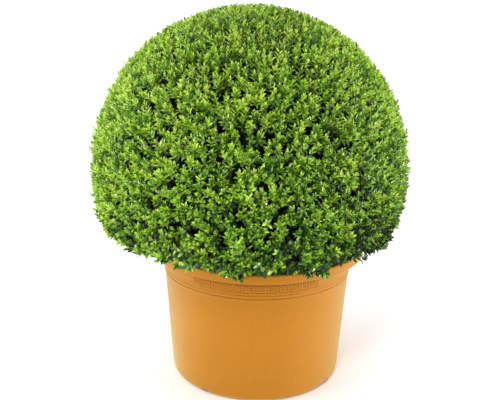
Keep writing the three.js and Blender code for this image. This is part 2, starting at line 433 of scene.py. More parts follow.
@dataclass(frozen=True)
class FloorFinish:
    """A plain pale studio floor."""

    tone: float = 0.97
    paler: float = 0.99
    drift_scale: float = 0.6
    roughness: float = 0.9

    def material(self) -> bpy.types.Material:
        """Makes the floor's material.

        Returns:
            The material.
        """
        paint = Paint("studio_floor")
        drift = paint.clouds(self.drift_scale, detail=1.0)
        colour = paint.mix(drift, (self.tone,) * 3, (self.paler,) * 3)
        return paint.finish(base_color=colour, roughness=self.roughness)


# ---- Modelling tools -----------------------------------------------------------------------


def deselect_all() -> None:
    """Leaves edit mode and selects nothing."""
    active = bpy.context.view_layer.objects.active
    if active and active.mode != "OBJECT":
        bpy.ops.object.mode_set(mode="OBJECT")
    bpy.ops.object.select_all(action="DESELECT")


def make_active(piece: bpy.types.Object) -> None:
    """Selects one object alone.

    Args:
        piece: the object.
    """
    deselect_all()
    piece.select_set(True)
    bpy.context.view_layer.objects.active = piece


def edit_mode(kind: str) -> None:
    """Enters edit mode to work on what is selected of one kind.

    Args:
        kind: VERT, EDGE or FACE.
    """
    kinds = ("VERT", "EDGE", "FACE")
    bpy.context.tool_settings.mesh_select_mode = tuple(kind == name for name in kinds)
    bpy.ops.object.mode_set(mode="EDIT")


def apply_modifier(piece: bpy.types.Object, kind: str, **settings: object) -> None:
    """Adds a modifier to an object and applies it.

    Args:
        piece: the object.
        kind: the modifier's type.
        settings: the modifier's properties.
    """
    make_active(piece)
    modifier = piece.modifiers.new(kind.lower(), kind)
    for name, value in settings.items():
        setattr(modifier, name, value)
    bpy.ops.object.modifier_apply(modifier=modifier.name)


def round_edges(piece: bpy.types.Object, width: float, segments: int, degrees: float) -> None:
    """Rounds the edges of an object that are sharper than an angle."""
    limits = {"limit_method": "ANGLE", "angle_limit": math.radians(degrees)}
    apply_modifier(piece, "BEVEL", width=width, segments=segments, **limits)


def smooth_below(piece: bpy.types.Object, degrees: float) -> None:
    """Shades an object smooth, apart from edges sharper than an angle."""
    make_active(piece)
    bpy.ops.object.shade_smooth_by_angle(angle=math.radians(degrees))


def corners_of(piece: bpy.types.Object) -> np.ndarray:
    """Reads an object's vertices.

    Args:
        piece: the object.

    Returns:
        An array with one point to a row.
    """
    places = np.empty(len(piece.data.vertices) * 3)
    piece.data.vertices.foreach_get("co", places)
    return places.reshape(-1, 3)


def set_corners(piece: bpy.types.Object, places: np.ndarray) -> None:
    """Moves the object's vertices to an array of points."""
    piece.data.vertices.foreach_set("co", np.ascontiguousarray(places, np.float32).ravel())
    piece.data.update()


def recalculate_normals(piece: bpy.types.Object) -> None:
    """Merges doubles and points all faces outwards.

    Args:
        piece: the object.
    """
    make_active(piece)
    bpy.ops.object.mode_set(mode="EDIT")
    bpy.ops.mesh.select_all(action="SELECT")
    bpy.ops.mesh.remove_doubles(threshold=1e-6)
    bpy.ops.mesh.normals_make_consistent(inside=False)
    bpy.ops.object.mode_set(mode="OBJECT")


def copy_of(piece: bpy.types.Object, name: str) -> bpy.types.Object:
    """Copies an object and its mesh.

    Args:
        piece: the object.
        name: the copy's name.

    Returns:
        The copy.
    """
    twin = piece.copy()
    twin.data = piece.data.copy()
    twin.name = name
    bpy.context.collection.objects.link(twin)
    return twin


def join(pieces: Sequence[bpy.types.Object], name: str) -> bpy.types.Object:
    """Joins objects into one.

    Args:
        pieces: the objects, which are used up.
        name: the name of the joined object.

    Returns:
        The joined object.
    """
    make_active(pieces[0])
    for piece in pieces:
        piece.select_set(True)
    bpy.ops.object.join()
    pieces[0].name = name
    return pieces[0]


def turned(name: str, outline: Outline, segments: int) -> bpy.types.Object:
    """Draws up a closed round body from a disc, one extrusion for each step of its outline.

    Args:
        name: the new object's name.
        outline: radius and height of each ring, from the disc below to the one that closes it.
        segments: the number of sides.

    Returns:
        The new object.
    """
    deselect_all()
    radius, height = outline[0]
    bpy.ops.mesh.primitive_circle_add(vertices=segments, radius=radius, fill_type="NGON")
    piece = bpy.context.active_object
    piece.name = name
    bpy.ops.object.mode_set(mode="EDIT")
    bpy.ops.mesh.select_all(action="SELECT")
    bpy.ops.transform.translate(value=(0, 0, height))
    for next_radius, next_height in outline[1:]:
        rise = {"value": (0, 0, next_height - height)}
        bpy.ops.mesh.extrude_region_move(TRANSFORM_OT_translate=rise)
        growth = next_radius / radius
        bpy.ops.transform.resize(value=(growth, growth, 1), center_override=(0, 0, 0))
        radius, height = next_radius, next_height
    bpy.ops.object.mode_set(mode="OBJECT")
    recalculate_normals(piece)
    return piece


def arc(centre: tuple[float, float], radius: float, start: float, end: float, steps: int) -> Outline:
    """Points of an arc in an outline, both ends included, with angles in degrees."""
    angles = np.radians(np.linspace(start, end, steps + 1))
    return [(centre[0] + radius * math.cos(a), centre[1] + radius * math.sin(a)) for a in angles]


def mesh_object(name: str, corners: np.ndarray, faces: np.ndarray) -> bpy.types.Object:
    """Makes an object from arrays, all of whose faces have the same number of corners.

    Args:
        name: the new object's name.
        corners: points, one to a row.
        faces: the corners of each face, one face to a row.

    Returns:
        The new object, shaded smooth.
    """
    mesh = bpy.data.meshes.new(name)
    mesh.vertices.add(len(corners))
    mesh.vertices.foreach_set("co", np.ascontiguousarray(corners, np.float32).ravel())
    mesh.loops.add(faces.size)
    mesh.loops.foreach_set("vertex_index", np.ascontiguousarray(faces, np.int32).ravel())
    mesh.polygons.add(len(faces))
    mesh.polygons.foreach_set("loop_start", np.arange(0, faces.size, faces.shape[1], dtype=np.int32))
    mesh.polygons.foreach_set("use_smooth", np.ones(len(faces), bool))
    mesh.update(calc_edges=True)
    piece = bpy.data.objects.new(name, mesh)
    bpy.context.collection.objects.link(piece)
    return piece


def unit(vectors: np.ndarray) -> np.ndarray:
    """Vectors of length one, along the last axis."""
    return vectors / np.maximum(np.linalg.norm(vectors, axis=-1, keepdims=True), 1e-12)


def settle(
    piece: bpy.types.Object,
    finish: bpy.types.Material,
    replaced: Sequence[str],
) -> None:
    """Dresses a finished piece and sets it on the frame.

    Args:
        piece: the finished object.
        finish: its material.
        replaced: the frame's nodes that it stands for.
    """
    piece.data.materials.clear()
    piece.data.materials.append(finish)
    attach(piece, BODY)
    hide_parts(*replaced)
    log.info("%s: %d faces", piece.name, len(piece.data.polygons))


# ---- Tub -----------------------------------------------------------------------------------


@dataclass
class Frieze:
    """Panels of raised keys: from each foot bar rises a hook, and another hangs inside it."""

    panels: int = 3
    keys: int = 12
    key_angle: float = math.radians(360 / 57)
    middle: float = math.radians(-0.7)
    bottom: float = 219.2 * MM
    row_height: float = 2.35 * MM
    parting: float = 0.4 * MM
    proud: float = 1.0 * MM
    sunk: float = 0.8 * MM
    edge_round: float = 0.4 * MM
    round_above: float = 50.0  # edges that turn by more degrees are rounded
    crease_above: float = 40.0  # and those that turn by more stay sharp in the shading
    rows: tuple[str, ...] = (  # from the top row down, a bar where there is an x
        ".x......",
        ".x.xxxxx",
        ".x.x...x",
        ".x.x.x.x",
        ".x...x.x",
        ".xxxxx.x",
        ".......x",
        "xxxxxxxx",
    )

    @property
    def centre_height(self) -> float:
        """The height of the band's middle."""
        return self.bottom + len(self.rows) * self.row_height / 2

    def build(self, wall_radius: Callable[[float], float]) -> bpy.types.Object:
        """Models one key and sets copies of it round the wall.

        Args:
            wall_radius: the wall's outer radius at a height.

        Returns:
            All the keys as one object.
        """
        across = wall_radius(self.centre_height)
        key = self._key(self.key_angle * across - self.parting)
        shape = corners_of(key)
        copies = []
        for panel in range(self.panels):
            start = self.middle + panel * 2 * math.pi / self.panels
            for place in range(self.keys):
                angle = start + (place - (self.keys - 1) / 2) * self.key_angle
                twin = copy_of(key, "frieze_key")
                set_corners(twin, self._bent(shape, angle, across, wall_radius))
                copies.append(twin)
        bpy.data.objects.remove(key)
        return join(copies, "frieze")

    def _key(self, width: float) -> bpy.types.Object:
        """Models one flat key: a grid with the gaps between its bars taken out, raised and eased.

        Args:
            width: how wide the key is.

        Returns:
            The key, lying on the level plane.
        """
        deselect_all()
        columns, rows = len(self.rows[0]), len(self.rows)
        bpy.ops.mesh.primitive_grid_add(x_subdivisions=columns, y_subdivisions=rows, size=1)
        key = bpy.context.active_object
        for face in key.data.polygons:
            column = int((face.center.x + 0.5) * columns)
            row = int((0.5 - face.center.y) * rows)
            face.select = self.rows[row][column] != "x"
        edit_mode("FACE")
        bpy.ops.mesh.delete(type="FACE")
        bpy.ops.mesh.select_all(action="SELECT")
        size = (width, rows * self.row_height, 1)
        bpy.ops.transform.resize(value=size, center_override=(0, 0, 0))
        rise = {"value": (0, 0, self.sunk + self.proud)}
        bpy.ops.mesh.extrude_region_move(TRANSFORM_OT_translate=rise)
        bpy.ops.object.mode_set(mode="OBJECT")
        recalculate_normals(key)
        round_edges(key, self.edge_round, segments=2, degrees=self.round_above)
        smooth_below(key, self.crease_above)
        return key

    def _bent(
        self,
        shape: np.ndarray,
        angle: float,
        across: float,
        wall_radius: Callable[[float], float],
    ) -> np.ndarray:
        """Lays a flat key round the wall.

        Args:
            shape: the flat key's points.
            angle: where the key's middle stands, from the front.
            across: the wall's radius at the band's middle.
            wall_radius: the wall's outer radius at a height.

        Returns:
            The key's points on the wall.
        """
        turn = angle + shape[:, 0] / across
        heights = self.centre_height + shape[:, 1]
        radii = np.array([wall_radius(height) for height in heights]) - self.sunk + shape[:, 2]
        return np.column_stack([radii * np.sin(turn), -radii * np.cos(turn), heights])


@dataclass
class Tub:
    """The round plastic tub, with its hanging rim, two beads, a frieze and drainage notches."""

    height: float
    rim_radius: float
    segments: int = 180
    wall: float = 3.2 * MM
    rim_overhang: float = 22.7 * MM
    taper: float = 17 * MM
    rim_flare: float = 1.2 * MM
    skirt_height: float = 17 * MM
    rim_round: float = 3 * MM
    rim_root: float = 0.5 * MM  # how far the rim's root stands out from the wall
    heel_radius: float = 12 * MM
    heel_inset: float = 155.5 * MM
    foot_width: float = 7.5 * MM
    foot_slope: float = 2 * MM
    pad_radius: float = 20 * MM
    underside: float = 6 * MM
    floor: float = 9.5 * MM
    bead_heights: tuple[float, ...] = (207.6 * MM, 214.1 * MM)
    bead_half: float = 2.2 * MM
    bead_proud: tuple[float, ...] = (1.2 * MM, 0.8 * MM)
    notch_angles: tuple[float, ...] = tuple(math.radians(-33 + 90 * i) for i in range(4))
    notch_width: float = 23 * MM
    notch_height: float = 8 * MM
    notch_round: float = 0.8  # how round the arch is, as a share of its height
    notch_reach: float = 45 * MM  # how far its cutter reaches across the foot
    edge_round: float = 0.7 * MM
    round_above: float = 32.0  # edges that turn by more degrees are rounded
    crease_above: float = 40.0  # and those that turn by more stay sharp in the shading
    frieze: Frieze = field(default_factory=Frieze)

    def wall_radius(self, height: float) -> float:
        """The wall's outer radius at a height."""
        mouth = self.rim_radius - self.rim_overhang
        return mouth - self.taper * (1 - height / self.height)

    def _bead(self, height: float, proud: float) -> Outline:
        """Draws a raised band's rounded outline.

        Args:
            height: the height of its middle.
            proud: how far it stands out from the wall.

        Returns:
            Its outline, from below upwards.
        """
        steps = np.radians(np.linspace(-90, 90, 7))
        heights = [height + self.bead_half * math.sin(a) for a in steps]
        return [(self.wall_radius(h) + proud * math.cos(a), h) for h, a in zip(heights, steps)]

    def outline(self) -> Outline:
        """Draws the tub's section.

        Returns:
            Its outline from the pad below, out and up, over the rim and down inside.
        """
        top = self.rim_radius
        skirt = self.rim_radius - self.rim_flare
        skirt_low = self.height - self.skirt_height
        under = self.height - self.wall
        foot_inner = self.heel_inset - self.foot_width
        crown = (top - self.rim_round, self.height - self.rim_round)
        bands = zip(self.bead_heights, self.bead_proud)
        beads = [point for height, proud in bands for point in self._bead(height, proud)]
        return [
            (self.pad_radius, 0),
            (self.pad_radius + self.foot_slope, self.underside),
            (foot_inner - self.foot_slope, self.underside),
            (foot_inner, 0),
            (self.heel_inset, 0),
            *arc((self.heel_inset, self.heel_radius), self.heel_radius, start=-75, end=-5, steps=7),
            *beads,
            (self.wall_radius(under) + self.rim_root, under),
            (top - self.wall, under),
            (skirt - self.wall, skirt_low),
            (skirt, skirt_low),
            *arc(crown, self.rim_round, start=0, end=90, steps=6),
            (self.wall_radius(self.height) - self.wall, self.height),
            (self.wall_radius(self.floor) - self.wall, self.floor),
        ]

    def _notch_cutter(self) -> bpy.types.Object:
        """Models one low arch.

        Returns:
            The arch, along the depth axis and centred on the origin.
        """
        deselect_all()
        bpy.ops.mesh.primitive_cube_add(size=1)
        cutter = bpy.context.active_object
        bpy.ops.object.mode_set(mode="EDIT")
        size = (self.notch_width, self.notch_reach, 2 * self.notch_height)
        bpy.ops.transform.resize(value=size, center_override=(0, 0, 0))
        bpy.ops.object.mode_set(mode="OBJECT")
        for edge in cutter.data.edges:
            ends = [cutter.data.vertices[i].co for i in edge.vertices]
            edge.select = all(end.z > 0 for end in ends) and abs(ends[0].x - ends[1].x) < 0.001 * MM
        edit_mode("EDGE")
        bpy.ops.mesh.bevel(offset=self.notch_round * self.notch_height, segments=5, affect="EDGES")
        bpy.ops.object.mode_set(mode="OBJECT")
        return cutter

    def _cut_notches(self, shell: bpy.types.Object) -> None:
        """Cuts the drainage notches out of the foot.

        Args:
            shell: the tub's shell.
        """
        cutter = self._notch_cutter()
        shape = corners_of(cutter)
        for angle in self.notch_angles:
            centre = Vector((0, -self.heel_inset, 0))
            turn = Matrix.Rotation(angle, 4, "Z") @ Matrix.Translation(centre)
            set_corners(cutter, shape)
            cutter.data.transform(turn)
            apply_modifier(shell, "BOOLEAN", operation="DIFFERENCE", object=cutter, solver="EXACT")
        bpy.data.objects.remove(cutter)

    def build(self) -> list[bpy.types.Object]:
        """Models the shell and its frieze.

        Returns:
            The shell and the frieze.
        """
        shell = turned("tub_shell", self.outline(), self.segments)
        round_edges(shell, self.edge_round, segments=3, degrees=self.round_above)
        self._cut_notches(shell)
        smooth_below(shell, self.crease_above)
        return [shell, self.frieze.build(self.wall_radius)]

    def dress(self) -> None:
        """Builds the tub and gives it its plastic."""
        plastic = TubPlastic().material()
        for piece in self.build():
            settle(piece, plastic, ["tub"])


# ---- Compost -------------------------------------------------------------------------------


@dataclass
class Compost:
    """The crumbly filling of the tub, level where the trunk stands."""

    low: Vector
    high: Vector
    segments: int = 96
    rings: int = 44
    edge_drop: float = 5 * MM
    seat: float = 34 * MM  # the radius of the level place for the trunk
    wall_clear: float = 2 * MM
    lump: float = 2.2 * MM
    lump_scales: tuple[float, float] = (90.0, 260.0)  # coarse and fine, in lumps to a metre
    fine_share: float = 0.5
    lump_cap: float = 0.4
    foot_share: float = 0.925
    crease_above: float = 60.0

    def build(self) -> bpy.types.Object:
        """Models the filling as a round body with an uneven top.

        Returns:
            The filling.
        """
        edge = self.high.x
        top = self.high.z
        fall = [
            (edge - (edge - self.seat) * share, top - self.edge_drop * (1 - share))
            for share in np.linspace(0, 1, self.rings)
        ]
        middle = [(self.seat * share, top) for share in (0.75, 0.5, 0.25)]
        outline = [(edge * self.foot_share, self.low.z), *fall, *middle]
        body = turned("compost_fill", outline, self.segments)
        coarse, fine = self.lump_scales
        places = corners_of(body)
        for place in places:
            reach = math.hypot(place[0], place[1])
            if self.seat < reach < edge - self.wall_clear and place[2] > self.low.z + self.lump:
                point = Vector(place)
                rough = noise.noise(point * coarse) + self.fine_share * noise.noise(point * fine)
                place[2] += self.lump * min(rough, self.lump_cap)
        set_corners(body, places)
        smooth_below(body, self.crease_above)
        return body

    def dress(self) -> None:
        """Builds the filling and gives it its finish."""
        settle(self.build(), CompostFinish().material(), ["compost"])


# ---- Growth --------------------------------------------------------------------------------


def even_directions(count: int, lowest: float, random: np.random.Generator, stir: float) -> np.ndarray:
    """Directions spread evenly by the golden angle, from straight up to a lowest slope.

    Args:
        count: how many.
        lowest: the vertical share of the lowest direction, from -1 to 1.
        random: the stream of random numbers.
        stir: how far each one strays, as a share of the space between them.

    Returns:
        Unit vectors, one to a row.
    """
    index = np.arange(count)
    rise = 1 - (1 - lowest) * (index + 0.5) / count
    ring = np.sqrt(1 - rise**2)
    turn = index * math.pi * (3 - math.sqrt(5))
    even = np.column_stack([ring * np.cos(turn), ring * np.sin(turn), rise])
    spacing = math.sqrt(2 * math.pi * (1 - lowest) / count)
    return unit(even + random.normal(0, stir * spacing, even.shape))


def bezier(points: np.ndarray, share: np.ndarray) -> tuple[np.ndarray, np.ndarray]:
    """Places and directions on many curves, each bent by three points.

    Args:
        points: three points for each curve.
        share: how far along each curve, one row for each curve.

    Returns:
        The places and the unit directions there.
    """
    first, second, third = (points[:, i, None, :] for i in range(3))
    along = share[..., None]
    place = (1 - along) ** 2 * first + 2 * along * (1 - along) * second + along**2 * third
    slope = (1 - along) * (second - first) + along * (third - second)
    return place, unit(slope)


def limb_mesh(
    name: str,
    curves: np.ndarray,
    thick: float,
    thin: float,
    sides: int,
    rings: int,
) -> bpy.types.Object:
    """Tapering limbs along many curves, joined as one mesh.

    Args:
        name: the new object's name.
        curves: three points for each limb.
        thick: the radius of a limb at its start.
        thin: its radius at its end.
        sides: the number of sides of a limb.
        rings: the number of rings along a limb.

    Returns:
        The new object.
    """
    share = np.broadcast_to(np.linspace(0, 1, rings), (len(curves), rings))
    place, way = bezier(curves, share)
    upright = np.abs(way[:, :1, 2:]) > 0.9  # such a limb takes its sides from another axis
    helper = np.where(upright, [[[1.0, 0, 0]]], [[[0, 0, 1.0]]])
    across = unit(np.cross(way, helper))
    third = np.cross(way, across)
    radius = thick + (thin - thick) * share
    angle = np.arange(sides) * 2 * math.pi / sides
    round_about = (
        across[:, :, None, :] * np.cos(angle)[:, None] + third[:, :, None, :] * np.sin(angle)[:, None]
    )
    corners = place[:, :, None, :] + radius[:, :, None, None] * round_about
    side = np.arange(sides)
    ring = np.arange(rings - 1)[:, None] * sides
    quads = np.stack(
        [ring + side, ring + (side + 1) % sides, ring + sides + (side + 1) % sides, ring + sides + side],
        axis=-1,
    ).reshape(-1, 4)
    faces = quads + (np.arange(len(curves)) * rings * sides)[:, None, None]
    return mesh_object(name, corners.reshape(-1, 3), faces.reshape(-1, 4))


@dataclass(frozen=True)
class Level:
    """One order of branching, from the boughs to the sprigs."""

    name: str
    count: int
    share: float  # how far out its limbs end, from the crown's middle to its surface
    thick: float  # the radius where a limb starts
    thin: float  # and where it ends
    sides: int
    rings: int
    stir: float  # how far its limbs stray, as a share of the space between them


@dataclass(frozen=True)
class LeafShape:
    """An oval box leaf of six faces round its middle, cupped a little and bent back at its tip."""

    width: float = 0.36
    cup: float = 0.05
    bend: float = 0.16

    def corners(self) -> np.ndarray:
        """Draws the leaf at a length of one.

        Returns:
            Its points: along it, across it and above it.
        """
        half = self.width / 2
        edge = [(0, 0), (0.3, -half), (0.72, -0.84 * half), (1, 0), (0.72, 0.84 * half), (0.3, half)]
        rim = [(u, v, self.cup * (v != 0) - self.bend * u * u) for u, v in edge]
        return np.array([*rim, (0.5, 0.0, -self.bend * 0.25)])

    @staticmethod
    def faces() -> np.ndarray:
        """The six faces."""
        return np.array([[6, i, (i + 1) % 6] for i in range(6)])


@dataclass
class Leaves:
    """Many leaves, with an array for each of their measures."""

    roots: np.ndarray
    ways: np.ndarray
    tops: np.ndarray  # the directions that their upper sides face
    sizes: np.ndarray
    breadths: np.ndarray  # how much broader they are than their shape

    def points(self, share: float = 1.0) -> np.ndarray:
        """A point on each leaf's midrib, at a share of its length."""
        return self.roots + self.ways * self.sizes[..., None] * share

    def chosen(self, mask: np.ndarray) -> Leaves:
        """Only those leaves for which a mask is true."""
        values = (self.roots, self.ways, self.tops, self.sizes, self.breadths)
        return Leaves(*(value[mask] for value in values))

    def mesh(self, name: str, shape: LeafShape) -> bpy.types.Object:
        """Sets a leaf at each root and joins them all.

        Args:
            name: the new object's name.
            shape: the shape of every leaf.

        Returns:
            The new object.
        """
        template = shape.corners()
        across = np.cross(self.tops, self.ways) * self.breadths[:, None]
        frames = np.stack([self.ways, across, self.tops], axis=1) * self.sizes[:, None, None]
        corners = self.roots[:, None, :] + template @ frames
        faces = shape.faces() + (np.arange(len(corners)) * len(template))[:, None, None]
        return mesh_object(name, corners.reshape(-1, 3), faces.reshape(-1, 3))


@dataclass
class Crown:
    """The clipped ball: boughs, branches, twigs and sprigs within the frame's reach."""

    stem_foot: Vector
    centre: Vector = field(default_factory=lambda: Vector((-16.5 * MM, 0, 404.5 * MM)))
    reach: float = 305 * MM
    reach_room: float = 0.5 * MM  # how far past it a leaf may end
    stretch: Triple = (0.985, 1.0, 1.012)  # clipped a little narrower than high
    fold_slope: float = math.radians(-20)  # where the ball gives way to its tapered underside
    lowest_slope: float = math.radians(-41)
    taper_curve: float = 0.9  # one would make the taper straight
    skirt_radius: float = 192 * MM
    skirt_height: float = 283.5 * MM
    skirt_wander: float = 4.5 * MM
    skirt_waves: float = 5.0
    droops: tuple[Triple, ...] = (  # degrees from the front, half width in degrees, millimetres down
        (-11, 14, 24),
        (27, 12.5, 31),
        (-40, 12, -18),
        (-72, 10, 16),
        (54, 14, -16),
        (104, 20, 10),
        (168, 24, 13),
        (-122, 17, 14),
    )
    droop_spread: float = 1.1  # how much further out the skirt reaches for each step down
    rim_clear: float = 209.5 * MM
    rim_top: float = 266.5 * MM
    fork_height: float = 30 * MM
    stem_radii: tuple[float, float] = (12 * MM, 8.5 * MM)
    stem_sides: int = 24
    stem_rings: int = 12
    stem_lap: float = 6 * MM  # how far the stem runs on into the fork
    lift: float = 1.3  # how far limbs turn up to the light
    hang: float = 0.55  # how far the lowest ones turn down
    elbow: float = 0.5  # where a limb turns, as a share of its length from its tip
    arch_reach: float = 0.8  # where the lowest ones turn, as a share of the way out
    arch_rise: float = 0.1
    sway: float = 0.16
    gather: float = 0.06  # how far sprigs of one twig draw together
    unevenness: float = 9 * MM
    uneven_sprig: float = 0.6  # the shares of it by sprig, by twig and in swells
    uneven_twig: float = 0.2
    uneven_swell: float = 0.5
    swell_waves: float = 4.0
    swell_offset: Triple = (3, 1, 7)
    ragged: float = 13 * MM  # how far short the lowest sprigs may end
    strays: float = 0.08  # the share of sprigs that outgrow the rest
    stray_length: float = 12 * MM
    stray_share: float = 0.8  # of that length, where they stand higher up
    tip_room: float = 4.5 * MM
    seed: int = 71
    levels: tuple[Level, ...] = (
        Level("boughs", 9, 0.36, 8 * MM, 5 * MM, 8, 8, 0.1),
        Level("branches", 64, 0.62, 4 * MM, 2.4 * MM, 5, 6, 0.2),
        Level("twigs", 620, 0.84, 1.9 * MM, 1.0 * MM, 4, 5, 0.25),
        Level("sprig_stems", 8800, 1.0, 0.8 * MM, 0.4 * MM, 3, 3, 0.45),
    )

    def __post_init__(self) -> None:
        """Starts the crown's random numbers, before it has grown anything."""
        self.random = np.random.default_rng(self.seed)
        self.middle = np.array(self.centre)
        self.orders: list[np.ndarray] = []  # three points for every limb, an array for each order
        self.ways = np.empty((0, 3))  # where each sprig points from the middle

    def surface(self, ways: np.ndarray) -> np.ndarray:
        """The clipped surface: a ball whose underside tapers in to the tub's rim.

        Args:
            ways: directions from the crown's middle.

        Returns:
            The point of the surface for each direction.
        """
        slope = np.arcsin(ways[:, 2])
        low = np.clip((self.fold_slope - slope) / (self.fold_slope - self.lowest_slope), 0, 1)
        level = unit(ways * [1, 1, 0])
        drop = self._drop(level)
        foot = self.skirt_height - drop
        ring = self.reach * math.cos(self.fold_slope)
        ring = ring + (self.skirt_radius + self.droop_spread * drop - ring) * low**self.taper_curve
        edge = self.middle[2] + self.reach * math.sin(self.fold_slope)
        height = edge + (foot - edge) * low
        axis = self.middle * [1, 1, 0] * (1 - low[:, None])
        skirt = axis + level * ring[:, None] + UP * height[:, None]
        ball = self.middle + ways * self.reach
        clipped = np.where(low[:, None] > 0, skirt, ball)
        return self.middle + (clipped - self.middle) * self.stretch

    def _drop(self, level: np.ndarray) -> np.ndarray:
        """Works out how far the skirt hangs below its usual height.

        Args:
            level: level directions.

        Returns:
            The drop in each direction.
        """
        waves = self.skirt_waves
        drop = np.array([-self.skirt_wander * noise.noise(Vector(way) * waves) for way in level])
        turn = np.arctan2(level[:, 0], -level[:, 1])
        for angle, width, depth in self.droops:
            away = (turn - math.radians(angle) + math.pi) % (2 * math.pi) - math.pi
            drop += depth * MM * np.exp(-((away / math.radians(width)) ** 2))
        return drop

    def inside(self, places: np.ndarray, share: float) -> np.ndarray:
        """Tests whether points lie within a share of the way out to the clipped surface.

        Args:
            places: the points.
            share: the share, one at the surface.

        Returns:
            True for each point that does.
        """
        out = places - self.middle
        ways = unit(out)
        edge = np.linalg.norm(self.surface(ways) - self.middle, axis=1)
        return (np.linalg.norm(out, axis=1) < share * edge) & (ways[:, 2] > math.sin(self.lowest_slope))

    def in_space(self, places: np.ndarray) -> np.ndarray:
        """Tests whether points lie in the crown's space, clear of the rim.

        Args:
            places: the points.

        Returns:
            True for each point that does.
        """
        out = np.linalg.norm(places - self.middle, axis=-1) <= self.reach + self.reach_room
        distance = np.linalg.norm(places[..., :2], axis=-1)
        return out & ((distance > self.rim_clear) | (places[..., 2] > self.rim_top))

    def grow(self) -> None:
        """Grows each order of limbs out of the one before, each limb from its nearest parent."""
        fork = self.stem_foot + Vector((0, 0, self.fork_height))
        ends = np.array([fork])
        ways = np.array([[0.0, 0.0, 1.0]])
        lowest = math.sin(self.lowest_slope)
        for level in self.levels:
            new_ways = even_directions(level.count, lowest, self.random, level.stir)
            parent = np.argmax(new_ways @ ways.T, axis=1)
            if level is self.levels[-1]:
                new_ways = unit(new_ways + self.gather * (ways[parent] - new_ways))
            new_ends = self.middle + level.share * (self.surface(new_ways) - self.middle)
            if level is self.levels[-1]:
                new_ends = self._clip(new_ways, new_ends, parent)
            start = ends[parent]
            self.orders.append(np.stack([start, self._bend(start, new_ends, new_ways), new_ends], axis=1))
            ends, ways = new_ends, new_ways
        self.ways = ways

    def _clip(self, ways: np.ndarray, ends: np.ndarray, parent: np.ndarray) -> np.ndarray:
        """Ends each sprig a little short of the surface, or past it where it outgrows the rest.

        Args:
            ways: the direction of each sprig from the crown's middle.
            ends: the point of the surface where it would end.
            parent: the number of its twig.

        Returns:
            Where each sprig ends.
        """
        random = self.random
        offset = Vector(self.swell_offset)
        twig = random.random(parent.max() + 1)[parent]
        swell = np.array([noise.noise(Vector(way) * self.swell_waves + offset) for way in ways])
        short = self.unevenness * (self.uneven_sprig * random.random(len(ways)) + self.uneven_twig * twig)
        short += self.unevenness * self.uneven_swell * np.clip(swell, 0, 1) + self.tip_room
        low = ways[:, 2] < math.sin(self.fold_slope)
        short += np.where(low, self.ragged * random.random(len(ways)) ** 2, 0)
        stray = random.random(len(ways)) < self.strays
        outgrown = self.stray_length * np.where(low, 1, self.stray_share) * random.random(len(ways))
        short -= np.where(stray, outgrown, 0)
        return ends - unit(ends - self.middle) * short[:, None]

    def _bend(self, start: np.ndarray, end: np.ndarray, ways: np.ndarray) -> np.ndarray:
        """Bends limbs so that they end outwards, turned up to the light or, lowest down, hanging.

        Args:
            start: where each limb starts.
            end: where it ends.
            ways: its direction from the crown's middle.

        Returns:
            The point that bends each limb.
        """
        length = np.linalg.norm(end - start, axis=1, keepdims=True)
        outward = unit(end - self.middle)
        low = np.clip((self.fold_slope - np.arcsin(ways[:, 2:])) / abs(self.fold_slope), 0, 1)
        final = outward + UP * (self.lift * (1 - low)) - low * UP * self.hang
        final = unit(final + self.random.normal(0, self.sway, end.shape))
        across = np.array([self.arch_reach, self.arch_reach, 0])
        arched = start + (end - start) * across + UP * (self.arch_rise * length)
        straight = end - final * self.elbow * length
        return straight * (1 - low) + arched * low

    def limbs(self) -> list[bpy.types.Object]:
        """Models the crown's stem and every order of limbs that it has grown.

        Returns:
            The stem, boughs, branches, twigs and sprig stems.
        """
        foot = np.array(self.stem_foot)
        fork = foot + UP * self.fork_height
        stem = np.array([[foot, (foot + fork) / 2, fork + UP * self.stem_lap]])
        pieces = [limb_mesh("crown_stem", stem, *self.stem_radii, self.stem_sides, self.stem_rings)]
        for level, curves in zip(self.levels, self.orders):
            limbs = limb_mesh(level.name, curves, level.thick, level.thin, level.sides, level.rings)
            pieces.append(limbs)
        return pieces


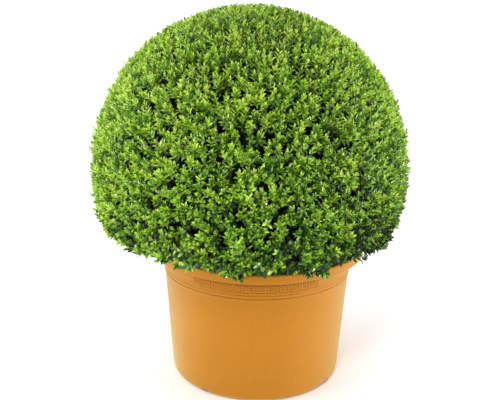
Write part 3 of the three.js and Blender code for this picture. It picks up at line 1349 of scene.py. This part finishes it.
@dataclass(frozen=True)
class AgeAndPaintedShade:
    """How old leaves look over the crown, with painted light on top and painted shade below and on its +X
    side, in steps of colour from the newest.
    """

    usual: float = 1.6  # the age of a sprig's newest pair, before all that follows
    high_from: float = 0.35  # how far below the middle the leaves start to be painted lighter
    high_span: float = 0.9
    # painted light: the top of the crown is dealt lighter colours, as light falling from above
    high_painted_light: float = 1.05
    side_painted_shade: float = 0.4  # the crown's +X side is painted a little darker, as painted shade away from the light
    low_from: float = 0.05  # how far below the middle it starts to be older, and painted darker as painted shade
    low_span: float = 0.45
    low_older_and_painted_shade: float = 0.6
    # painted shade: the lower +X side is darker still
    low_side_painted_shade: float = 1.9
    patch_waves: float = 6.5
    patch_older: float = 1.3
    sprig_spread: float = 0.6
    low_sprig_spread: float = 0.4
    leaf_spread: float = 1.15
    low_leaf_spread: float = 0.4
    pair_step: float = 0.42  # how much older each pair down a sprig is
    # painted shade: low down, the pairs deeper in a sprig are darker still, as shade between the sprigs
    low_pair_painted_shade: float = 0.5

    def ages(self, ways: np.ndarray, pairs: np.ndarray, random: np.random.Generator) -> np.ndarray:
        """Works out every leaf's step of colour, from its age and from painted light and shade over the
        crown.

        Args:
            ways: the direction of each sprig from the crown's middle.
            pairs: the number of every leaf's pair on its sprig.
            random: the stream of random numbers.

        Returns:
            The leaves' steps of colour.
        """
        side, rise = ways[:, 0], ways[:, 2]
        patch = np.array([noise.noise(Vector(way) * self.patch_waves) for way in ways])
        high = np.clip((rise + self.high_from) / self.high_span, 0, 1)
        low = np.clip((-self.low_from - rise) / self.low_span, 0, 1)
        tone = self.usual - self.high_painted_light * high + self.side_painted_shade * side
        tone = tone + (self.low_older_and_painted_shade + self.low_side_painted_shade * side) * low - self.patch_older * patch
        tone += random.normal(0, 1, len(ways)) * (self.sprig_spread + self.low_sprig_spread * low)
        low = low[:, None, None]
        spread = self.leaf_spread + self.low_leaf_spread * low
        step = self.pair_step + self.low_pair_painted_shade * low
        return step * pairs + tone[:, None, None] + random.normal(0, 1, pairs.shape) * spread


@dataclass
class Foliage:
    """The leaves of every sprig, in crossed pairs, dealt out to plain colours by age and by painted light
    and shade.
    """

    crown: Crown
    shape: LeafShape = field(default_factory=LeafShape)
    inner_shape: LeafShape = field(default_factory=lambda: LeafShape(width=0.56))
    age_and_shade: AgeAndPaintedShade = field(default_factory=AgeAndPaintedShade)
    leaf_length: float = 9.4 * MM
    pairs: int = 7
    node_gap: float = 3.0 * MM
    gap_growth: float = 0.05  # how much wider each gap is down the sprig
    first_node: float = 0.02
    stalk: float = 0.4 * MM
    splay: Triple = (0.26, 0.12, 0.95)  # at the tip, more for each pair, at most
    splay_spread: float = 0.16
    turn_spread: float = 0.22
    growth: tuple[float, ...] = (0.5, 0.76, 0.92, 1.0)  # of the newest pairs, by length
    vigour_spread: float = 0.13  # from sprig to sprig
    vigour_limits: tuple[float, float] = (0.7, 1.35)
    size_spread: float = 0.1  # from leaf to leaf
    size_limits: tuple[float, float] = (0.75, 1.25)
    low_from: float = 0.05  # how far below the middle leaves start to be larger and fewer
    low_rate: float = 2.0
    low_growth: float = 0.5  # how much longer the lowest leaves are
    low_breadth: float = 0.3  # how much broader still they are for their length
    low_thinning: float = 0.6  # the share of sprigs below that have died back
    inner_per_twig: int = 46
    inner_share: float = 0.85  # how far out they reach, from the crown's middle to its surface
    inner_along: tuple[float, float] = (0.35, 1.05)
    inner_spread: float = 14 * MM
    inner_outward: float = 0.9
    inner_sizes: tuple[float, float] = (1.8, 2.2)

    def _lowness(self) -> np.ndarray:
        """How far down each sprig stands on the ball, from 0 above its middle to 1 at its foot."""
        return np.clip(self.low_rate * (-self.low_from - self.crown.ways[:, 2]), 0, 1)

    def _nodes(self) -> tuple[np.ndarray, np.ndarray, np.ndarray]:
        """Places the leaf pairs on each sprig.

        Returns:
            Where the pairs stand, the way the sprig runs there, and the pairs' numbers.
        """
        sprigs = self.crown.orders[-1]
        length = np.linalg.norm(sprigs[:, 2] - sprigs[:, 0], axis=1)
        pair = np.arange(self.pairs)
        depth = self.node_gap * pair * (1 + self.gap_growth * pair)
        share = np.clip(1 - depth / length[:, None], self.first_node, 1)
        place, way = bezier(sprigs, share)
        return place, way, np.broadcast_to(pair, share.shape)

    def _leaves(self) -> tuple[Leaves, np.ndarray]:
        """Sets two leaves at every node, each pair across the one before.

        Returns:
            The leaves, by sprig, pair and half of the pair, and the pairs' numbers.
        """
        random = self.crown.random
        place, way, pair = self._nodes()
        count = len(pair)
        side = unit(np.cross(way, random.normal(size=(count, 1, 3))))
        third = np.cross(way, side)
        start, more, most = self.splay
        growth = np.array([self.growth[min(p, len(self.growth) - 1)] for p in range(self.pairs)])
        vigour = random.normal(1.0, self.vigour_spread, (count, 1)).clip(*self.vigour_limits)
        low = self._lowness()[:, None]
        vigour += self.low_growth * low
        halves = []
        for half in range(2):
            turn = (pair * 0.5 + half) * math.pi + random.normal(0, self.turn_spread, pair.shape)
            out = side * np.cos(turn)[..., None] + third * np.sin(turn)[..., None]
            splay = np.minimum(start + more * pair, most)
            lean = (splay + random.normal(0, self.splay_spread, pair.shape))[..., None]
            ways = way * np.cos(lean) + out * np.sin(lean)
            tops = way * np.sin(lean) - out * np.cos(lean)
            scatter = random.normal(1.0, self.size_spread, pair.shape).clip(*self.size_limits)
            sizes = self.leaf_length * growth * vigour * scatter
            breadths = np.broadcast_to(1 + self.low_breadth * low, sizes.shape)
            halves.append((place + ways * self.stalk, ways, tops, sizes, breadths, pair))
        *measures, numbers = (np.stack(both, axis=2) for both in zip(*halves))
        return Leaves(*measures), numbers

    def _inner(self) -> Leaves:
        """Sets older leaves along the twigs inside, which close the view into the crown.

        Returns:
            Those that stay inside it.
        """
        random = self.crown.random
        twigs = np.repeat(self.crown.orders[-2], self.inner_per_twig, axis=0)
        count = len(twigs)
        place, way = bezier(twigs, random.uniform(*self.inner_along, (count, 1)))
        roots = place[:, 0] + random.normal(0, self.inner_spread, (count, 3))
        ways = unit(random.normal(size=(count, 3)) + self.inner_outward * way[:, 0])
        tops = unit(np.cross(ways, random.normal(size=ways.shape)))
        sizes = self.leaf_length * random.uniform(*self.inner_sizes, count)
        leaves = Leaves(roots, ways, tops, sizes, np.ones(count))
        tips = leaves.points()
        kept = self.crown.in_space(tips) & self.crown.inside(tips, self.inner_share)
        return leaves.chosen(kept & self.crown.inside(roots, self.inner_share))

    def build(self) -> dict[Shade, bpy.types.Object]:
        """Grows all the leaves.

        Returns:
            One object of joined leaves for each colour.
        """
        crown = self.crown
        leaves, numbers = self._leaves()
        # painted light and shade: the colour steps also follow where each sprig sits on the crown
        ages = self.age_and_shade.ages(crown.ways, numbers, crown.random)
        *outer_shades, inner_shade = Shade
        shades = np.clip(np.round(ages), 0, len(outer_shades) - 1).astype(int)
        kept = crown.in_space(leaves.points()) & crown.in_space(leaves.points(0.5))
        low = self._lowness()
        kept &= (crown.random.random(len(low)) >= self.low_thinning * low)[:, None, None]
        made = {}
        for index, shade in enumerate(outer_shades):
            chosen = leaves.chosen(kept & (shades == index))
            made[shade] = chosen.mesh(f"{shade.value}_leaves", self.shape)
        made[inner_shade] = self._inner().mesh(f"{inner_shade.value}_leaves", self.inner_shape)
        return made


@dataclass
class Trunk:
    """The short trunk, flared at its foot and furrowed, that leans to the crown's stem."""

    low: Vector
    high: Vector
    lean: tuple[float, float] = (-9 * MM, 1 * MM)  # where its top stands, off the tub's axis
    sides: int = 64
    rings: int = 14
    waist: float = 0.47  # its radius at the top, as a share of its room
    flare: float = 0.5  # how much more of it the foot takes
    flare_curve: float = 3.2
    rib_waves: tuple[float, float] = (2.2, 0.7)  # round about and upwards
    rib_depth: float = 0.14
    rib_fade: float = 0.6  # how much of that is lost towards the top
    wrinkle_waves: tuple[float, float] = (9.0, 2.5)
    wrinkle_depth: float = 0.045
    crease_above: float = 55.0

    @property
    def top(self) -> Vector:
        """Where the crown's stem stands."""
        return Vector((*self.lean, self.high.z))

    @staticmethod
    def _relief(angle: float, share: float, waves: tuple[float, float]) -> float:
        """Noise at an angle round the trunk and a share of its height."""
        around, upwards = waves
        return noise.noise(Vector((math.cos(angle) * around, math.sin(angle) * around, share * upwards)))

    def build(self) -> bpy.types.Object:
        """Models the trunk: turned, ribbed and leant over.

        Returns:
            The trunk.
        """
        foot = (self.low + self.high) / 2
        room = (self.high.x - self.low.x) / 2
        height = self.high.z - self.low.z
        steps = np.linspace(0, 1, self.rings)
        radius = [room * (self.waist + self.flare * (1 - s) ** self.flare_curve) for s in steps]
        outline = [(r, self.low.z + s * height) for r, s in zip(radius, steps)]
        trunk = turned("trunk_bark", outline, self.sides)
        top = self.top
        places = corners_of(trunk)
        for place in places:
            share = (place[2] - self.low.z) / height
            angle = math.atan2(place[1], place[0])
            rib = self.rib_depth * self._relief(angle, share, self.rib_waves)
            wrinkle = self.wrinkle_depth * self._relief(angle, share, self.wrinkle_waves)
            swell = 1 + rib * (1 - self.rib_fade * share) + wrinkle
            place[0] = place[0] * swell + foot.x + (top.x - foot.x) * share
            place[1] = place[1] * swell + foot.y + (top.y - foot.y) * share
        set_corners(trunk, places)
        smooth_below(trunk, self.crease_above)
        return trunk


@dataclass
class Plant:
    """The trunk and the crown that grows from it."""

    trunk: Trunk
    crown: Crown
    old_bark: BarkFinish = BarkFinish("old_bark", linear(84, 72, 56), linear(158, 144, 118))
    young_bark: BarkFinish = BarkFinish("young_bark", linear(88, 84, 46), linear(128, 128, 66), 0.4 * MM)
    finishes: tuple[LeafFinish, ...] = (
        LeafFinish(Shade.BUD, linear(199, 226, 90), 0.28, 0.28),
        LeafFinish(Shade.YOUNG, linear(168, 208, 60), 0.28, 0.25),
        LeafFinish(Shade.FRESH, linear(130, 174, 43), 0.28, 0.2),
        LeafFinish(Shade.LEAF, linear(95, 141, 33), 0.3, 0.17),
        LeafFinish(Shade.MATURE, linear(61, 101, 31), 0.32, 0.13, wax=0.1, polish=0.35),
        # painted shade: SHADED and INNER are dark colours for leaves that lie in shade deep in and under
        # the crown
        LeafFinish(Shade.SHADED, linear(35, 61, 25), 0.36, 0.1, wax=0.0, polish=0.25),
        LeafFinish(Shade.INNER, linear(23, 39, 15), 0.6, 0.04, wax=0.0, polish=0.3),
    )

    def dress(self) -> None:
        """Builds the plant and gives each piece its finish."""
        old_bark, young_bark = self.old_bark.material(), self.young_bark.material()
        settle(self.trunk.build(), old_bark, ["trunk"])
        self.crown.grow()
        *older, sprigs = self.crown.limbs()
        for limb in older:
            settle(limb, old_bark, ["crown"])
        settle(sprigs, young_bark, ["crown"])
        leaves = Foliage(self.crown).build()
        for finish in self.finishes:
            settle(leaves[finish.shade], finish.material(), ["crown"])


# ---- Studio --------------------------------------------------------------------------------


@dataclass(frozen=True)
class SoftBox:
    """A soft rectangular light that faces the plant."""

    name: str
    place: Triple
    width: float
    height: float
    power: float

    def hang(self, target: Vector) -> None:
        """Hangs the light and turns it to the target.

        Args:
            target: the point that it faces.
        """
        data = bpy.data.lights.new(self.name, "AREA")
        data.shape = "RECTANGLE"
        data.size = self.width
        data.size_y = self.height
        data.energy = self.power
        lamp = bpy.data.objects.new(self.name, data)
        lamp.location = self.place
        lamp.rotation_euler = (target - Vector(self.place)).to_track_quat("-Z", "Y").to_euler()
        bpy.context.collection.objects.link(lamp)


@dataclass
class Studio:
    """Pale floor, soft light from both sides and above, and the camera."""

    target: Vector = field(default_factory=lambda: Vector((0, 0, 0.35)))
    floor_size: float = 60.0
    sky: float = 1.55
    front_share: float = 0.2  # how bright the room is behind the camera, against the rest
    fade: tuple[float, float] = (-0.6, 0.3)  # from where to where it brightens, from front to back
    eye: Triple = (0.0, -1.25, 0.675)
    yaw: float = -0.0125
    pitch: float = 0.262
    roll: float = 0.017
    lens: float = 47.9
    sensor: float = 36.0
    sight: tuple[float, float] = (0.05, 200.0)  # the nearest and furthest that the camera sees
    boxes: tuple[SoftBox, ...] = (
        SoftBox("left_box", (-1.9, -0.9, 0.6), 1.0, 1.0, 28),
        SoftBox("right_box", (1.7, -0.7, 0.14), 1.0, 0.24, 24),
        SoftBox("top_box", (-0.4, -1.9, 2.2), 0.6, 0.5, 32),
    )

    def _floor(self) -> None:
        """Lays the floor."""
        deselect_all()
        bpy.ops.mesh.primitive_grid_add(x_subdivisions=8, y_subdivisions=8, size=self.floor_size)
        floor = bpy.context.active_object
        floor.name = "studio_floor"
        floor.data.materials.append(FloorFinish().material())

    def _sky(self) -> None:
        """Lights the room in white, and less so behind the camera."""
        world = bpy.data.worlds.new("studio_room")
        world.use_nodes = True
        nodes = Nodes(world.node_tree)
        where = nodes.add("ShaderNodeTexCoord", output="Generated")
        depth = nodes.add("ShaderNodeSeparateXYZ", None, {0: where}, "Y")
        front, back = self.fade
        span = {"Value": depth, "From Min": front, "From Max": back, "To Min": self.front_share}
        light = nodes.add("ShaderNodeMapRange", {"interpolation_type": "SMOOTHSTEP"}, span)
        room = nodes.tree.nodes["Background"].inputs
        nodes.plug(room["Color"], light)
        nodes.plug(room["Strength"], self.sky)
        bpy.context.scene.world = world

    def _camera(self) -> None:
        """Sets up the camera, a little above the ball's middle and looking down at it."""
        level = math.cos(self.pitch)
        ahead = Vector((math.sin(self.yaw) * level, math.cos(self.yaw) * level, -math.sin(self.pitch)))
        right = ahead.cross(Vector((0, 0, 1))).normalized()
        up = right.cross(ahead)
        upright = Matrix((right, up, -ahead)).transposed()
        data = bpy.data.cameras.new("camera")
        data.lens = self.lens
        data.sensor_width = self.sensor
        data.clip_start, data.clip_end = self.sight
        camera = bpy.data.objects.new("camera", data)
        turn = upright @ Matrix.Rotation(self.roll, 3, "Z")
        camera.matrix_world = Matrix.Translation(self.eye) @ turn.to_4x4()
        bpy.context.collection.objects.link(camera)
        bpy.context.scene.camera = camera

    def set_up(self) -> None:
        """Makes the room ready."""
        self._floor()
        self._sky()
        self._camera()
        for box in self.boxes:
            box.hang(self.target)
        bpy.context.scene.view_settings.view_transform = "Standard"


# ---- Assembly ------------------------------------------------------------------------------


def main() -> None:
    """Builds the tub, its filling, the plant and the studio, in that order."""
    logging.basicConfig(level=logging.INFO, format="%(name)s: %(message)s")
    tub_low, tub_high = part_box("tub")
    Tub(height=tub_high.z, rim_radius=(tub_high.x - tub_low.x) / 2).dress()
    Compost(*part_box("compost")).dress()
    trunk = Trunk(*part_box("trunk"))
    Plant(trunk, Crown(trunk.top)).dress()
    Studio().set_up()


if __name__ == "__main__":
    main()
